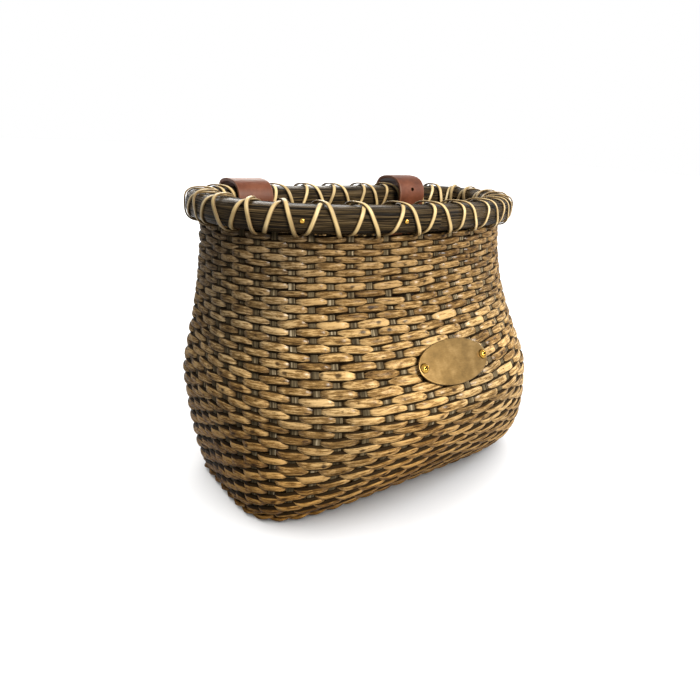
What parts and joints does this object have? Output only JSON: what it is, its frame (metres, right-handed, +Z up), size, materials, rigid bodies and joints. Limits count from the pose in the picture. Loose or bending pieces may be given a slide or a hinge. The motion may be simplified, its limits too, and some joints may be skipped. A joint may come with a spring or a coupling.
{
  "type": "woven handlebar basket",
  "caption": "Woven rattan basket with a flat back, a bulging front, a laced double rim, a bare oval brass plate and buckled leather straps that hang it on a bar.",
  "frame": {"origin": "on the flat underside, on the middle plane of the body, where the sides are widest", "axes": "+Z up, +X along the width to the right seen from the front, +Y to the flat back with the straps"},
  "size_m": [0.2657, 0.195, 0.2083],
  "materials": {
    "rattan": "varnished rattan weave, satin",
    "pole": "dark stained split pole, satin",
    "cane": "pale flat cane, satin",
    "leather": "smooth chestnut leather",
    "brass": "satin brass"
  },
  "bodies": {
    "basket": {"woven_wall": "rattan", "woven_base": "rattan", "rim_outer_hoop": "pole", "rim_inner_hoop": "pole", "rim_filler": "pole", "lashing_forward": "cane", "lashing_return": "cane", "left_strap": "leather", "right_strap": "leather", "rim_nail_1": "brass", "rim_nail_2": "brass", "badge_plate": "brass", "badge_screw_left": "brass", "badge_screw_right": "brass", "badge_washer_left": "brass", "badge_washer_right": "brass", "badge_nut_left": "brass", "badge_nut_right": "brass", "left_strap_rivet": "brass", "left_buckle_frame": "brass", "right_strap_rivet": "brass", "right_buckle_frame": "brass"},
    "left_buckle_roller": {"left_buckle_roller": "brass"},
    "left_buckle_prong": {"left_buckle_prong": "brass"},
    "left_strap_keeper": {"left_strap_keeper": "leather"},
    "right_buckle_roller": {"right_buckle_roller": "brass"},
    "right_buckle_prong": {"right_buckle_prong": "brass"},
    "right_strap_keeper": {"right_strap_keeper": "leather"}
  },
  "joints": [
    {"name": "left_prong_swing", "type": "hinge", "parent": "basket", "child": "left_buckle_prong", "pos_m": [-0.076, 0.02883, 0.141], "axis": [1, 0, 0], "range_deg": [0, 30]},
    {"name": "left_roller_spin", "type": "hinge", "parent": "basket", "child": "left_buckle_roller", "pos_m": [-0.076, 0.0257, 0.15873], "axis": [1, 0, 0], "continuous": true},
    {"name": "left_keeper_slide", "type": "slide", "parent": "basket", "child": "left_strap_keeper", "axis": [0, -0.1042, 0.9946], "range_m": [-0.003, 0.003]},
    {"name": "right_prong_swing", "type": "hinge", "parent": "basket", "child": "right_buckle_prong", "pos_m": [0.065, 0.03037, 0.141], "axis": [1, 0, 0], "range_deg": [0, 30]},
    {"name": "right_roller_spin", "type": "hinge", "parent": "basket", "child": "right_buckle_roller", "pos_m": [0.065, 0.02725, 0.15873], "axis": [1, 0, 0], "continuous": true},
    {"name": "right_keeper_slide", "type": "slide", "parent": "basket", "child": "right_strap_keeper", "axis": [0, -0.0966, 0.9953], "range_m": [-0.003, 0.003]}
  ]
}
